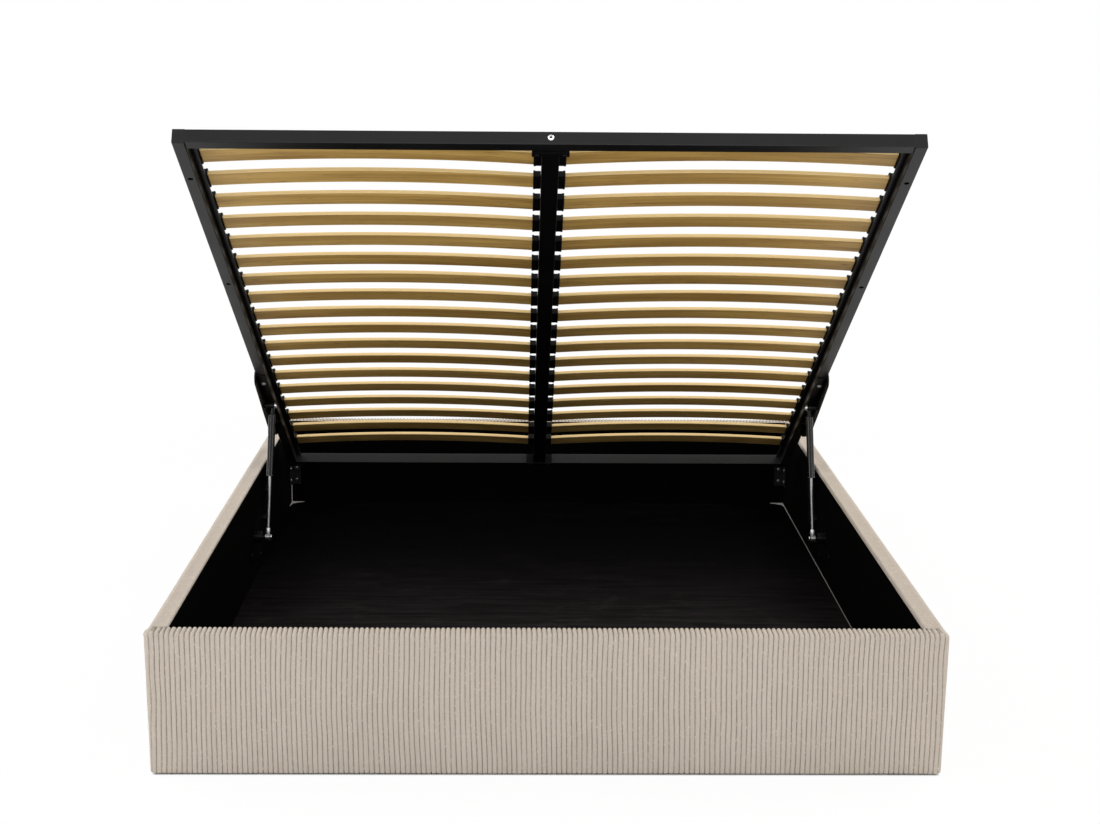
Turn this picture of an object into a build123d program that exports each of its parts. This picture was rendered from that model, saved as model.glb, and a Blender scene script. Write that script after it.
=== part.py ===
from build123d import *
import os
from math import acos, atan2, cos, degrees, hypot, radians, sin

# Storage bed base with a lift-up slatted platform, modelled with the platform raised.
# Origin: middle of the footprint on the floor. +X to the right seen from the foot end,
# +Y towards the head end, +Z up. Millimetres.
os.makedirs("parts", exist_ok=True)

# Box
overall_width = 1600.0
inner_length = 2030.0
panel_thickness = 41.0
cover_height = 296.0
cover_stand = 4.0

# Upholstery cover
cover_thickness = 7.0
cover_inner_thickness = 2.0
cover_turn_down = 4.0
cover_edge_radius = 8.0
rib_pitch = 10.2
rib_rise = 1.8
rib_seat = 1.0

# Boards, floor and what carries it
board_hem = 2.0
floor_top = 43.5
floor_thickness = 6.0
floor_side_gap = 1.0
floor_joint_gap = 1.0
ledger_width = 30.0
ledger_height = 27.5
bearer_width = 60.0
leg_radius = 25.0
leg_count = 3
glide_radius = 13.0
glide_end_inset = 100.0
glide_count = 4

# Corner brackets
bracket_leg = 30.0
bracket_height = 66.0
bracket_sheet = 2.5
bracket_floor_gap = 56.5
bracket_screw_inset = 15.0

# Small screws and bolts
screw_head_radius = 4.5
screw_head_height = 2.4
bolt_head_radius = 6.5
bolt_head_height = 3.6
bolt_round_share = 0.8
bolt_recess_length = 6.0
bolt_recess_width = 1.5
bolt_recess_depth = 1.6

# Slatted platform, measured flat: from its head end towards the foot, and up from the slats' underside
platform_end_gap = 8.25
platform_side_gap = 24.4
closed_slat_drop = 26.1
lift_angle = 31.175
rail_width = 25.0
rail_height = 30.0
rail_top = 2.0
tube_wall = 1.5
cross_rail_width = 28.0
cross_rail_height = 28.0
beam_width = 35.0
beam_height = 30.0
ledge_reach = 12.0
ledge_thickness = 3.0
end_cap_thickness = 3.0
tie_plate_width = 74.0
tie_plate_reach = 13.0
tie_plate_sheet = 4.0
tie_bolt_offset = 27.0
rail_hole_radius = 5.5
rail_hole_inset = 154.5
rail_hole_spacing = 527.0

# Sprung slats and their holders
slat_rows = 18
first_slat_inset = 84.7
last_slat_inset = 174.4
slat_width = 53.0
slat_thickness = 8.0
slat_crown = 11.0
slat_rail_gap = 14.8
slat_beam_gap = 15.4
slat_insert = 8.0
holder_wall = 2.5
holder_length = 59.0

# Lift linkage: pivots on the box, measured from its head face and down from the closed slats
front_pivot_inset = 695.1
front_pivot_drop = 109.5
rear_pivot_inset = 636.2
rear_pivot_drop = 46.5
# and pivots on the arm from the platform's head end and the slats' underside
arm_front_pivot_u = 408.5
arm_front_pivot_w = -54.3
arm_rear_pivot_u = 389.0
arm_rear_pivot_w = -16.4
link_width = 30.0
link_thickness = 4.0
layer_gap = 0.5
pivot_pin_radius = 5.0
pivot_clearance = 0.05
open_pivot_clearance = 1.0
pivot_head_radius = 9.0
pivot_head_height = 3.0
boss_radius = 13.0
spacer_radius = 8.0
base_plate_thickness = 3.0
base_plate_margin = 20.0
base_screw_margin = 13.0
arm_thickness = 4.0
arm_end_u = 735.0
arm_end_w = -30.0
arm_end_radius = 20.0
arm_tail_u = 300.0
arm_tail_w = -20.0
arm_tail_radius = 14.0
arm_pin_margin = 16.0
arm_flange_width = 27.6
arm_flange_thickness = 3.0
arm_flange_start = 360.0
arm_flange_end = 750.0
arm_bolt_near = 400.0
arm_bolt_far = 696.0

# Gas struts: lower pin on the box, upper pin under the arm
strut_plate_gap = 33.7
strut_low_inset = 857.5
strut_low_drop = 119.7
strut_arm_gap = 21.2
strut_high_u = 568.8
strut_high_w = -45.5
cylinder_radius = 9.3
cylinder_wall = 2.3
cylinder_cap = 10.0
cylinder_share = 0.534
rod_radius = 4.0
piston_length = 8.0
running_gap = 0.08
strut_pin_radius = 4.0
strut_pin_head_radius = 6.0
strut_eye_radius = 9.0
strut_eye_width = 12.0
strut_eye_gap = 0.4
strut_neck_radius = 5.5
strut_neck_length = 24.0
strut_pin_head = 4.0
strut_pin_seat_gap = 0.3
strut_post_radius = 15.0

# Plate screws from the head face and down from the closed slats
front_screw_inset = 922.0
front_screw_drop = 152.9
low_screw_inset = 766.0
low_screw_drop = 191.9
rear_screw_inset = 572.0
rear_screw_drop = 54.9

# Derived sizes
overall_length = inner_length + 2 * panel_thickness
half_width = overall_width / 2
foot_face = -overall_length / 2
head_face = overall_length / 2
cover_top = cover_stand + cover_height
board_bottom = cover_stand + board_hem
board_top = cover_top - cover_thickness
board_inner = panel_thickness - cover_inner_thickness
board_inner_x = half_width - board_inner
floor_underside = floor_top - floor_thickness
platform_length = inner_length - 2 * platform_end_gap
slat_pitch = (platform_length - first_slat_inset - last_slat_inset) / (slat_rows - 1)
closed_slat_height = cover_top - closed_slat_drop
rail_outer_x = half_width - panel_thickness - platform_side_gap
rail_inner_x = rail_outer_x - rail_width
rail_bottom = rail_top - rail_height
cross_rail_bottom = rail_top - cross_rail_height
arm_outer_x = rail_outer_x + arm_thickness
front_link_x = arm_outer_x + layer_gap
front_link_end = front_link_x + link_thickness
rear_link_x = front_link_end + layer_gap
rear_link_end = rear_link_x + link_thickness
base_plate_x = board_inner_x - base_plate_thickness
slat_outer_x = rail_inner_x - slat_rail_gap
slat_inner_x = beam_width / 2 + slat_beam_gap
strut_low_x = base_plate_x - strut_plate_gap
strut_high_x = rail_outer_x - strut_arm_gap
closed_head = (head_face - panel_thickness - platform_end_gap, closed_slat_height)


def on_box(inset, drop):
    """Side view place on the box, from its head face and down from the closed slats."""
    return (head_face - inset, closed_slat_height - drop)


front_pivot = on_box(front_pivot_inset, front_pivot_drop)
rear_pivot = on_box(rear_pivot_inset, rear_pivot_drop)
strut_low = on_box(strut_low_inset, strut_low_drop)
plate_screws = [
    on_box(front_screw_inset, front_screw_drop),
    on_box(low_screw_inset, low_screw_drop),
    on_box(rear_screw_inset, rear_screw_drop),
]


def flat_point(head, angle, u, w):
    """Side view place of a platform point, u from its head end and w above the slats' underside."""
    tilt = radians(angle)
    return (head[0] - u * cos(tilt) + w * sin(tilt), head[1] + u * sin(tilt) + w * cos(tilt))


def circle_crossing(centre_a, radius_a, centre_b, radius_b):
    """Upper crossing of two circles in the side view."""
    span = hypot(centre_b[0] - centre_a[0], centre_b[1] - centre_a[1])
    along = atan2(centre_b[1] - centre_a[1], centre_b[0] - centre_a[0])
    turn = acos((radius_a**2 + span**2 - radius_b**2) / (2 * radius_a * span))
    first = (centre_a[0] + radius_a * cos(along + turn), centre_a[1] + radius_a * sin(along + turn))
    second = (centre_a[0] + radius_a * cos(along - turn), centre_a[1] + radius_a * sin(along - turn))
    return first if first[1] > second[1] else second


def raised_head():
    """Head end of the raised platform, from the two links' lengths."""
    front_closed = flat_point(closed_head, 0, arm_front_pivot_u, arm_front_pivot_w)
    rear_closed = flat_point(closed_head, 0, arm_rear_pivot_u, arm_rear_pivot_w)
    front_length = hypot(front_closed[0] - front_pivot[0], front_closed[1] - front_pivot[1])
    rear_length = hypot(rear_closed[0] - rear_pivot[0], rear_closed[1] - rear_pivot[1])
    front_arm = flat_point((0, 0), lift_angle, arm_front_pivot_u, arm_front_pivot_w)
    rear_arm = flat_point((0, 0), lift_angle, arm_rear_pivot_u, arm_rear_pivot_w)
    shifted = (rear_pivot[0] - rear_arm[0] + front_arm[0], rear_pivot[1] - rear_arm[1] + front_arm[1])
    pin = circle_crossing(front_pivot, front_length, shifted, rear_length)
    return (pin[0] - front_arm[0], pin[1] - front_arm[1])


open_head = raised_head()
arm_front_pin = flat_point(open_head, lift_angle, arm_front_pivot_u, arm_front_pivot_w)
arm_rear_pin = flat_point(open_head, lift_angle, arm_rear_pivot_u, arm_rear_pivot_w)
strut_high = flat_point(open_head, lift_angle, strut_high_u, strut_high_w)
platform_place = Location((0, open_head[0], open_head[1]), (-lift_angle, 0, 0))


def block(x_low, x_high, y_low, y_high, z_low, z_high):
    middle = Pos((x_low + x_high) / 2, (y_low + y_high) / 2, (z_low + z_high) / 2)
    return middle * Box(x_high - x_low, y_high - y_low, z_high - z_low)


def rod_along_x(x_low, x_high, y, z, radius):
    return Pos((x_low + x_high) / 2, y, z) * Rot(0, 90, 0) * Cylinder(radius, x_high - x_low)


def upright(x, y, z_low, z_high, radius):
    return Pos(x, y, (z_low + z_high) / 2) * Cylinder(radius, z_high - z_low)


def group(solids):
    return Compound(children=[solid for shape in solids for solid in shape.solids()])


def other_side(shape):
    return mirror(shape, about=Plane.YZ)


def save(name, shape):
    export_step(shape, "parts/" + name + ".step")


def save_pair(name, shape):
    save(name + "_right", shape)
    save(name + "_left", other_side(shape))


def ribbed_slab(origin, along, run, length, height):
    """Flat-backed slab with round ribs side by side along one direction, cut to a height."""
    count = round(length / rib_pitch)
    step = length / count
    start = -length / 2
    arcs = []
    for i in range(count):
        left = (start + i * step, -rib_rise)
        top = (start + (i + 1 / 2) * step, 0)
        right = (start + (i + 1) * step, -rib_rise)
        arcs.append(ThreePointArc(left, top, right))
    back = -rib_rise - rib_seat
    rim = Polyline(
        (start + length, -rib_rise),
        (start + length, back),
        (start, back),
        (start, -rib_rise),
    )
    face = make_face(Plane(origin, x_dir=along, z_dir=run) * Sketch(children=[make_face(arcs + [rim])]))
    return extrude(face, amount=height, dir=run)


def cover(length, closed_ends):
    """Upholstery wrapped over one panel: outer face at y = 0, inner face at the panel's thickness."""
    half = length / 2
    skin = block(-half, half, rib_rise, panel_thickness, cover_stand, cover_top - rib_rise)
    long_edges = skin.edges().filter_by(Axis.X).group_by(Axis.Z)[-1]
    skin = fillet(long_edges, cover_edge_radius - rib_rise)
    board_half = half - cover_thickness if closed_ends else half
    leg_half = half - panel_thickness if closed_ends else half
    board_space = block(-board_half, board_half, cover_thickness, board_inner, cover_stand, board_top)
    leg_bottom = board_top - cover_turn_down
    leg_space = block(-leg_half, leg_half, board_inner, panel_thickness, cover_stand, leg_bottom)
    skin = skin - board_space - leg_space
    if closed_ends:
        for side in (-1, 1):
            low = min(side * leg_half, side * board_half)
            high = max(side * leg_half, side * board_half)
            skin = skin - block(low, high, board_inner, panel_thickness, cover_stand, board_top)
    front = ribbed_slab((0, 0, cover_stand), (-1, 0, 0), (0, 0, 1), length, cover_height - cover_edge_radius)
    top_run = panel_thickness - 2 * cover_edge_radius
    top_start = panel_thickness - cover_edge_radius
    top = ribbed_slab((0, top_start, cover_top), (1, 0, 0), (0, -1, 0), length, top_run)
    return skin + front + top


def make_covers():
    end_cover = cover(overall_width, True)
    side_cover = cover(inner_length, False)
    save("foot_cover", Pos(0, foot_face, 0) * end_cover)
    save("head_cover", Pos(0, head_face, 0) * Rot(0, 0, 180) * end_cover)
    save("side_cover_left", Pos(-half_width, 0, 0) * Rot(0, 0, -90) * side_cover)
    save("side_cover_right", Pos(half_width, 0, 0) * Rot(0, 0, 90) * side_cover)


def make_boards():
    reach = half_width - cover_thickness
    foot_inner = foot_face + board_inner
    foot = block(-reach, reach, foot_face + cover_thickness, foot_inner, board_bottom, board_top)
    save("foot_board", foot)
    save("head_board", mirror(foot, about=Plane.XZ))
    side = block(board_inner_x, reach, foot_inner, -foot_inner, board_bottom, board_top)
    save_pair("side_board", side)


def make_floor():
    reach = board_inner_x - floor_side_gap
    foot_edge = foot_face + board_inner + floor_side_gap
    joint = floor_joint_gap / 2
    front = block(-reach, reach, foot_edge, -joint, floor_underside, floor_top)
    save("floor_board_front", front)
    save("floor_board_rear", mirror(front, about=Plane.XZ))
    low = floor_underside - ledger_height
    start = foot_face + board_inner
    ledger = block(board_inner_x - ledger_width, board_inner_x, start, -start, low, floor_underside)
    save("floor_ledgers", group([ledger, other_side(ledger)]))
    bearer = block(-bearer_width / 2, bearer_width / 2, start, -start, low, floor_underside)
    save("centre_bearer", bearer)
    spacing = -2 * start / (leg_count + 1)
    places = [start + (i + 1) * spacing for i in range(leg_count)]
    save("bearer_legs", group([upright(0, y, 0, low, leg_radius) for y in places]))


def make_glides():
    middle_x = half_width - (cover_thickness + board_inner) / 2
    end_y = foot_face + (cover_thickness + board_inner) / 2
    pads = []
    for i in range(glide_count):
        share = i / (glide_count - 1)
        x = (-half_width + glide_end_inset) * (1 - 2 * share)
        y = (foot_face + 2 * glide_end_inset) * (1 - 2 * share)
        pads.append(upright(x, end_y, 0, board_bottom, glide_radius))
        pads.append(upright(x, -end_y, 0, board_bottom, glide_radius))
        pads.append(upright(middle_x, y, 0, board_bottom, glide_radius))
        pads.append(upright(-middle_x, y, 0, board_bottom, glide_radius))
    save("panel_glides", group(pads))


def make_corner_brackets():
    corner_x = board_inner_x
    corner_y = head_face - board_inner
    low = floor_top + bracket_floor_gap
    high = low + bracket_height
    on_side = block(corner_x - bracket_sheet, corner_x, corner_y - bracket_leg, corner_y, low, high)
    on_head = block(corner_x - bracket_leg, corner_x, corner_y - bracket_sheet, corner_y, low, high)
    bracket = on_side + on_head
    screws = []
    for z in (low + bracket_screw_inset, high - bracket_screw_inset):
        turned = Pos(corner_x - bracket_leg / 2 - bracket_sheet, corner_y - bracket_sheet, z)
        screws.append(turned * Rot(90, 0, 0) * screw_head())
        face = Pos(corner_x - bracket_sheet, corner_y - bracket_leg / 2 - bracket_sheet, z)
        screws.append(face * Rot(0, -90, 0) * screw_head())
    right = [bracket, mirror(bracket, about=Plane.XZ)]
    save("corner_brackets", group(right + [other_side(piece) for piece in right]))
    screws += [mirror(piece, about=Plane.XZ) for piece in screws]
    return screws + [other_side(piece) for piece in screws]


def screw_head():
    """Pan head standing on z = 0."""
    head = Pos(0, 0, screw_head_height / 2) * Cylinder(screw_head_radius, screw_head_height)
    return fillet(head.edges().group_by(Axis.Z)[-1], screw_head_height / 2)


def bolt_head():
    """Domed head with a cross recess, standing on z = 0."""
    head = Pos(0, 0, bolt_head_height / 2) * Cylinder(bolt_head_radius, bolt_head_height)
    head = fillet(head.edges().group_by(Axis.Z)[-1], bolt_head_height * bolt_round_share)
    bar = Box(bolt_recess_length, bolt_recess_width, 2 * bolt_recess_depth)
    bar = Pos(0, 0, bolt_head_height) * bar
    return head - bar - Rot(0, 0, 90) * bar


def in_side_view(circles, x, thickness):
    """Flat plate in the side view: the hull of round pads at (y, z, radius), from x outwards."""
    outline = [Pos(y, z) * Circle(radius) for y, z, radius in circles]
    hull = make_hull([edge for pad in outline for edge in pad.edges()])
    return Pos(x, 0, 0) * extrude(Plane.YZ * hull, amount=thickness)


def make_base_plates():
    pads = [(strut_low[0], strut_low[1], base_plate_margin)]
    pads.append((front_pivot[0], front_pivot[1], base_plate_margin))
    pads.append((rear_pivot[0], rear_pivot[1], base_plate_margin))
    pads += [(y, z, base_screw_margin) for y, z in plate_screws]
    save_pair("lift_base_plate", in_side_view(pads, base_plate_x, base_plate_thickness))
    heads = []
    for y, z in plate_screws:
        heads.append(Pos(base_plate_x, y, z) * Rot(0, -90, 0) * screw_head())
    return heads + [other_side(head) for head in heads]


def make_base_pins():
    pins = []
    for (y, z), start, end in (
        (front_pivot, front_link_x, front_link_end),
        (rear_pivot, rear_link_x, rear_link_end),
    ):
        boss = rod_along_x(end + layer_gap, base_plate_x, y, z, boss_radius)
        pins.append(boss + rod_along_x(start, base_plate_x, y, z, pivot_pin_radius))
    y, z = strut_low
    post_end = strut_low_x + strut_eye_width
    head_start = strut_low_x - strut_eye_width / 2 - layer_gap
    pin = rod_along_x(post_end, base_plate_x, y, z, strut_post_radius)
    pin += rod_along_x(head_start, base_plate_x, y, z, strut_pin_radius)
    pin += rod_along_x(head_start - strut_pin_head, head_start, y, z, strut_pin_head_radius)
    pins.append(pin)
    save("lift_base_pins", group(pins + [other_side(pin) for pin in pins]))


def link(low_pin, high_pin, start, high_clearance):
    """Flat link between two pins, drilled for both."""
    pads = [(low_pin[0], low_pin[1], link_width / 2), (high_pin[0], high_pin[1], link_width / 2)]
    plate = in_side_view(pads, start, link_thickness)
    end = start + link_thickness
    low_hole = pivot_pin_radius + pivot_clearance
    high_hole = pivot_pin_radius + high_clearance
    plate -= rod_along_x(start, end, low_pin[0], low_pin[1], low_hole)
    return plate - rod_along_x(start, end, high_pin[0], high_pin[1], high_hole)


def make_links():
    """The links cross half way, so the rear one runs outside the front one."""
    save_pair("front_link", link(front_pivot, arm_front_pin, front_link_x, pivot_clearance))
    save_pair("rear_link", link(rear_pivot, arm_rear_pin, rear_link_x, open_pivot_clearance))


def on_platform(shape):
    return platform_place * shape


def flat_block(x_low, x_high, u_low, u_high, w_low, w_high):
    return block(x_low, x_high, -u_high, -u_low, w_low, w_high)


def tube(x_low, x_high, u_low, u_high, w_low, w_high, run):
    """Square steel tube lying along X or along the platform, with rounded long edges."""
    outer = flat_block(x_low, x_high, u_low, u_high, w_low, w_high)
    outer = fillet(outer.edges().filter_by(run), tube_wall)
    x_wall = tube_wall if run == Axis.Y else 0
    u_wall = tube_wall if run == Axis.X else 0
    bore = flat_block(
        x_low + x_wall,
        x_high - x_wall,
        u_low + u_wall,
        u_high - u_wall,
        w_low + tube_wall,
        w_high - tube_wall,
    )
    return outer - bore


def make_rails():
    cap = end_cap_thickness
    low = rail_bottom
    rail = tube(rail_inner_x, rail_outer_x, cap, platform_length - cap, low, rail_top, Axis.Y)
    middle = (rail_inner_x + rail_outer_x) / 2
    first_hole = platform_length - rail_hole_inset
    for u in (first_hole, first_hole - rail_hole_spacing):
        rail -= upright(middle, -u, low - tube_wall, low + 2 * tube_wall, rail_hole_radius)
    start = cross_rail_width
    stop = platform_length - cross_rail_width
    shelf = rail_inner_x - ledge_reach
    ledge = flat_block(shelf, rail_inner_x, start, stop, -holder_wall - ledge_thickness, -holder_wall)
    save_pair("side_rail", on_platform(rail + ledge))
    head_cap = flat_block(rail_inner_x, rail_outer_x, 0, cap, low, rail_top)
    head_cap = fillet(head_cap.edges().filter_by(Axis.Y), tube_wall)
    foot_cap = Pos(0, cap - platform_length, 0) * head_cap
    caps = [head_cap, foot_cap, other_side(head_cap), other_side(foot_cap)]
    save("rail_end_caps", group([on_platform(piece) for piece in caps]))
    cross = tube(-rail_inner_x, rail_inner_x, 0, start, cross_rail_bottom, rail_top, Axis.X)
    save("head_rail", on_platform(cross))
    save("foot_rail", on_platform(Pos(0, start - platform_length, 0) * cross))
    half = beam_width / 2
    beam = tube(-half, half, start, stop, rail_top - beam_height, rail_top, Axis.Y)
    save("centre_beam", on_platform(beam))


def make_tie_plates():
    """Angle plates that tie the centre beam to the two cross rails."""
    under = rail_top - beam_height - tie_plate_sheet
    half = tie_plate_width / 2
    start = cross_rail_width
    flat = flat_block(-half, half, start, start + tie_plate_reach, under, under + tie_plate_sheet)
    wall = flat_block(-half, half, start, start + tie_plate_sheet, under, rail_bottom)
    post = flat_block(-half, -beam_width / 2, start, start + tie_plate_sheet, under, rail_top - tube_wall)
    plate = flat + wall + post + other_side(post)
    foot = mirror(plate, about=Plane.XZ.offset(platform_length / 2))
    save("beam_tie_plates", group([on_platform(plate), on_platform(foot)]))


def slat(row):
    """One sprung slat, bowed upwards, its ends level with the holders' pockets."""
    low = slat_inner_x - slat_insert
    high = slat_outer_x + slat_insert
    middle = (low + high) / 2
    under = Line((low, 0), (low, slat_thickness))
    over = ThreePointArc((low, slat_thickness), (middle, slat_thickness + slat_crown), (high, slat_thickness))
    end = Line((high, slat_thickness), (high, 0))
    back = ThreePointArc((high, 0), (middle, slat_crown), (low, 0))
    face = Plane.XZ * make_face([under, over, end, back])
    foot_edge = last_slat_inset + (slat_rows - row) * slat_pitch
    return Pos(0, -foot_edge + slat_width, 0) * extrude(face, amount=slat_width)


def holder(row, at_rail):
    """Plastic cup for one slat end."""
    foot_edge = last_slat_inset + (slat_rows - row) * slat_pitch
    spare = (holder_length - slat_width) / 2
    top = slat_thickness + slat_crown / 4 + holder_wall
    if at_rail:
        low, high = slat_outer_x, rail_inner_x
    else:
        low, high = beam_width / 2, slat_inner_x
    start = foot_edge - slat_width - spare
    cup = flat_block(low, high, start, start + holder_length, -holder_wall, top)
    return cup - slat(row)


def make_slats():
    holders = []
    for row in range(1, slat_rows + 1):
        right = slat(row)
        pair = [on_platform(right), on_platform(other_side(right))]
        save("slat_row_%02d" % row, group(pair))
        for at_rail in (True, False):
            cup = holder(row, at_rail)
            holders.append(on_platform(cup))
            holders.append(on_platform(other_side(cup)))
    save("slat_holders", group(holders))


def make_arms():
    """Steel angle under each side rail: an outer plate with the link pins, and a flange below the rail."""
    pins_at = [(arm_front_pivot_u, arm_front_pivot_w), (arm_rear_pivot_u, arm_rear_pivot_w)]
    pads = [(-arm_end_u, arm_end_w, arm_end_radius), (-arm_tail_u, arm_tail_w, arm_tail_radius)]
    pads += [(-u, w, arm_pin_margin) for u, w in pins_at + [(strut_high_u, strut_high_w)]]
    plate = in_side_view(pads, rail_outer_x, arm_thickness)
    low = rail_bottom - arm_flange_thickness
    inner = arm_outer_x - arm_flange_width
    flange = flat_block(inner, rail_outer_x, arm_flange_start, arm_flange_end, low, rail_bottom)
    arm = plate + flange
    for u, w in pins_at:
        arm -= rod_along_x(rail_outer_x, arm_outer_x, -u, w, pivot_pin_radius)
    save_pair("lift_arm", on_platform(arm))
    u, w = pins_at[0]
    front_pin = rod_along_x(rail_outer_x, front_link_end, -u, w, pivot_pin_radius)
    u, w = pins_at[1]
    head_start = rear_link_end + layer_gap
    rear_pin = rod_along_x(rail_outer_x, head_start, -u, w, pivot_pin_radius)
    rear_pin += rod_along_x(arm_outer_x, front_link_end, -u, w, spacer_radius)
    rear_pin += rod_along_x(head_start, head_start + pivot_head_height, -u, w, pivot_head_radius)
    pins = [on_platform(front_pin), on_platform(rear_pin)]
    save("arm_link_pins", group(pins + [other_side(pin) for pin in pins]))


def make_platform_bolts():
    low = rail_bottom - arm_flange_thickness
    middle = rail_outer_x - rail_width / 2
    heads = []
    for u in (arm_bolt_near, arm_bolt_far):
        head = Pos(middle, -u, low) * Rot(180, 0, 0) * bolt_head()
        heads += [head, other_side(head)]
    face_w = (rail_top + cross_rail_bottom) / 2
    heads.append(Pos(0, -platform_length, face_w) * Rot(90, 0, 0) * bolt_head())
    tie_low = rail_top - beam_height - tie_plate_sheet
    tie_u = cross_rail_width + tie_plate_reach / 2
    for u in (tie_u, platform_length - tie_u):
        for x in (-tie_bolt_offset, tie_bolt_offset):
            heads.append(Pos(x, -u, tie_low) * Rot(180, 0, 0) * screw_head())
    save("platform_bolts", group([on_platform(head) for head in heads]))


def strut_frame():
    """Place of a strut: its own z runs from the lower pin to the upper one, its x as near to X as it can."""
    low = Vector(strut_low_x, strut_low[0], strut_low[1])
    high = Vector(strut_high_x, strut_high[0], strut_high[1])
    along = high - low
    side = Vector(1, 0, 0)
    side = (side - along.normalized() * side.dot(along.normalized())).normalized()
    return Plane(origin=low, x_dir=side, z_dir=along), along.length


def strut_end(at, seat):
    """Round end fitting at a pin, with a neck from it to the seat."""
    ring = Pos(0, 0, at) * Rot(0, 90, 0) * Cylinder(strut_eye_radius, strut_eye_width)
    return ring + upright(0, 0, min(at, seat), max(at, seat), strut_neck_radius)


def make_struts():
    plane, length = strut_frame()
    place = plane.location
    mouth = length * (1 - cylinder_share)
    gland = mouth + cylinder_cap
    head = length - strut_neck_length
    tube_body = upright(0, 0, mouth, head, cylinder_radius)
    tube_body = fillet(tube_body.edges().filter_by(GeomType.CIRCLE), cylinder_wall / 2)
    tube_body -= upright(0, 0, gland, head - cylinder_cap, cylinder_radius - cylinder_wall)
    tube_body -= upright(0, 0, mouth, gland, rod_radius + running_gap)
    save_pair("strut_cylinder", place * tube_body)
    piston = cylinder_radius - cylinder_wall - running_gap
    rod = strut_end(0, strut_neck_length)
    rod += upright(0, 0, 0, gland + piston_length, rod_radius)
    rod += upright(0, 0, gland + running_gap, gland + piston_length, piston)
    hole = strut_pin_radius + strut_eye_gap
    rod -= Rot(0, 90, 0) * Cylinder(hole, strut_eye_width)
    save_pair("strut_rod", place * rod)
    y, z = strut_high
    face = strut_high_x - strut_eye_width / 2
    stud = rod_along_x(face - strut_pin_head, rail_outer_x - strut_pin_seat_gap, y, z, strut_pin_radius)
    stud += rod_along_x(face - strut_pin_head, face, y, z, strut_pin_head_radius)
    neck = strut_high_x + strut_eye_width / 2
    stud += rod_along_x(neck, rail_outer_x - strut_pin_seat_gap, y, z, strut_pin_head_radius)
    save_pair("strut_upper_end", place * strut_end(length, head) + stud)


def main():
    make_covers()
    make_boards()
    make_floor()
    make_glides()
    save("base_screws", group(make_corner_brackets() + make_base_plates()))
    make_base_pins()
    make_links()
    make_rails()
    make_tie_plates()
    make_slats()
    make_arms()
    make_platform_bolts()
    make_struts()
    print_joints()


def side_angle(low, high):
    return degrees(atan2(high[1] - low[1], high[0] - low[0]))


def print_joints():
    """Pivots and travels of the lift, raised and closed."""
    print("front link", front_pivot, arm_front_pin)
    print("rear link", rear_pivot, arm_rear_pin)
    print("strut", strut_low, strut_high)
    closed_front = flat_point(closed_head, 0, arm_front_pivot_u, arm_front_pivot_w)
    closed_rear = flat_point(closed_head, 0, arm_rear_pivot_u, arm_rear_pivot_w)
    closed_strut = flat_point(closed_head, 0, strut_high_u, strut_high_w)
    print("front swing", side_angle(front_pivot, closed_front) - side_angle(front_pivot, arm_front_pin))
    print("rear swing", side_angle(rear_pivot, closed_rear) - side_angle(rear_pivot, arm_rear_pin))
    print("strut swing", side_angle(strut_low, closed_strut) - side_angle(strut_low, strut_high))
    raised = hypot(strut_high[0] - strut_low[0], strut_high[1] - strut_low[1])
    lowered = hypot(closed_strut[0] - strut_low[0], closed_strut[1] - strut_low[1])
    print("strut lengths in the side view", raised, lowered)


main()
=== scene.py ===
"""Storage bed base with its slatted platform raised, seen from the foot end."""

from math import ceil, cos, exp, pi, radians, sin

import bmesh
import bpy
from mathutils import Matrix, Vector, noise


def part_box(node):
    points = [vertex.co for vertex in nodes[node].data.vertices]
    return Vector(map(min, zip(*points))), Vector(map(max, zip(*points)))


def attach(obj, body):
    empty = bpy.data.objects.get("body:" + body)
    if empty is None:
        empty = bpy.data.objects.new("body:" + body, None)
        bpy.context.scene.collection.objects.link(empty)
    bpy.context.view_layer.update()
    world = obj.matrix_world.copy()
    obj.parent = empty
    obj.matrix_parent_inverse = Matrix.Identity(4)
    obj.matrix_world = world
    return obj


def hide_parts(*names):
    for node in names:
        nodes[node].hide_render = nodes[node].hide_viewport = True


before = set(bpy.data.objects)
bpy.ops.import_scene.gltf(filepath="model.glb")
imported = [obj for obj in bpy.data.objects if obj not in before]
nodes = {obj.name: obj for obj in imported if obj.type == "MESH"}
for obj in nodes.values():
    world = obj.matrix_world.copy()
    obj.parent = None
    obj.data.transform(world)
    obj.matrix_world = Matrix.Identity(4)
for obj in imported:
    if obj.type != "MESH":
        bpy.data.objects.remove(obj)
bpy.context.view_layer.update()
MM = 0.001


# Camera, in the place that the photograph gives

PHOTO_WIDTH = 1100
FOCAL_PIXELS = 1880.41
SENSOR_WIDTH = 36.0
CLIP_NEAR, CLIP_FAR = 0.05, 60
CAMERA_PLACE = Vector((-0.060435, -4.632082, 1.477128))
CAMERA_PITCH = radians(11.489)
CAMERA_YAW = radians(0.973)
CAMERA_ROLL = radians(0.439)


def add_camera():
    data = bpy.data.cameras.new("camera")
    data.sensor_fit = "HORIZONTAL"
    data.sensor_width = SENSOR_WIDTH
    data.lens = FOCAL_PIXELS / PHOTO_WIDTH * SENSOR_WIDTH
    data.clip_start, data.clip_end = CLIP_NEAR, CLIP_FAR
    camera = bpy.data.objects.new("camera", data)
    bpy.context.scene.collection.objects.link(camera)
    flat = cos(CAMERA_PITCH)
    ahead = Vector((sin(CAMERA_YAW) * flat, cos(CAMERA_YAW) * flat, -sin(CAMERA_PITCH)))
    level = ahead.cross(Vector((0, 0, 1))).normalized()
    over = level.cross(ahead)
    right = level * cos(CAMERA_ROLL) + over * sin(CAMERA_ROLL)
    up = over * cos(CAMERA_ROLL) - level * sin(CAMERA_ROLL)
    turn = Matrix((right, up, -ahead)).transposed()
    camera.matrix_world = Matrix.Translation(CAMERA_PLACE) @ turn.to_4x4()
    bpy.context.scene.camera = camera


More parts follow.
